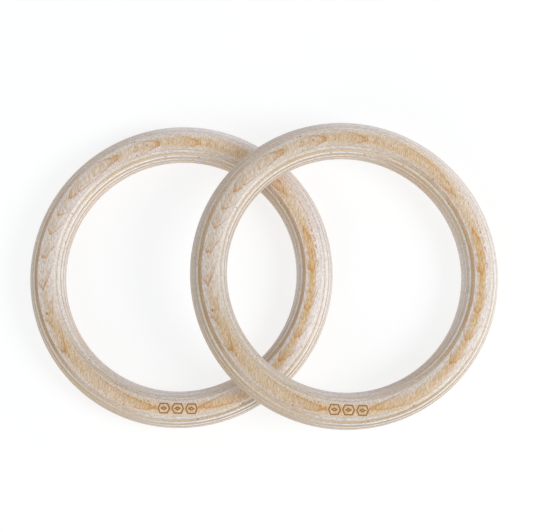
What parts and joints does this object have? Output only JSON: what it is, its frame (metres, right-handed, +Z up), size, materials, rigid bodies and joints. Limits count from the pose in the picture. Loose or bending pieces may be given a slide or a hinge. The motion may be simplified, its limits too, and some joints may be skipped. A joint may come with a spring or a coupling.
{
  "type": "gymnastics rings",
  "caption": "Pair of round wooden gymnastics rings turned from laminated plywood, one leaning on the other, with a plain engraved mark on the grip.",
  "frame": {"origin": "on the table, under the middle of the pair's bounding box", "axes": "+Z up from the table; +X from the flat left ring towards the leaning right ring; the engraved marks are on the -Y side"},
  "size_m": [0.3624, 0.236, 0.0633],
  "materials": {
    "face_veneer": "bare birch face veneer, sanded smooth, flat grain with a brown engraved mark",
    "long_grain_ply": "bare birch ply with its fibres front to back, sanded edge",
    "cross_grain_ply": "bare birch ply with its fibres left to right, sanded edge"
  },
  "bodies": {
    "left_ring": {"left_face_veneer": "face_veneer", "left_ply_02": "cross_grain_ply", "left_ply_03": "long_grain_ply", "left_ply_04": "cross_grain_ply", "left_ply_05": "long_grain_ply", "left_ply_06": "cross_grain_ply", "left_ply_07": "long_grain_ply", "left_ply_08": "cross_grain_ply", "left_ply_09": "long_grain_ply", "left_ply_10": "cross_grain_ply", "left_ply_11": "long_grain_ply", "left_ply_12": "cross_grain_ply", "left_ply_13": "long_grain_ply", "left_ply_14": "cross_grain_ply", "left_ply_15": "long_grain_ply", "left_ply_16": "cross_grain_ply", "left_ply_17": "long_grain_ply", "left_ply_18": "cross_grain_ply", "left_back_veneer": "long_grain_ply"},
    "right_ring": {"right_face_veneer": "face_veneer", "right_ply_02": "cross_grain_ply", "right_ply_03": "long_grain_ply", "right_ply_04": "cross_grain_ply", "right_ply_05": "long_grain_ply", "right_ply_06": "cross_grain_ply", "right_ply_07": "long_grain_ply", "right_ply_08": "cross_grain_ply", "right_ply_09": "long_grain_ply", "right_ply_10": "cross_grain_ply", "right_ply_11": "long_grain_ply", "right_ply_12": "cross_grain_ply", "right_ply_13": "long_grain_ply", "right_ply_14": "cross_grain_ply", "right_ply_15": "long_grain_ply", "right_ply_16": "cross_grain_ply", "right_ply_17": "long_grain_ply", "right_ply_18": "cross_grain_ply", "right_back_veneer": "long_grain_ply"}
  },
  "joints": [
    {"name": "right_ring_lift", "type": "slide", "parent": "left_ring", "child": "right_ring", "axis": [0, 0, 1], "range_m": [0, 0.25]}
  ]
}
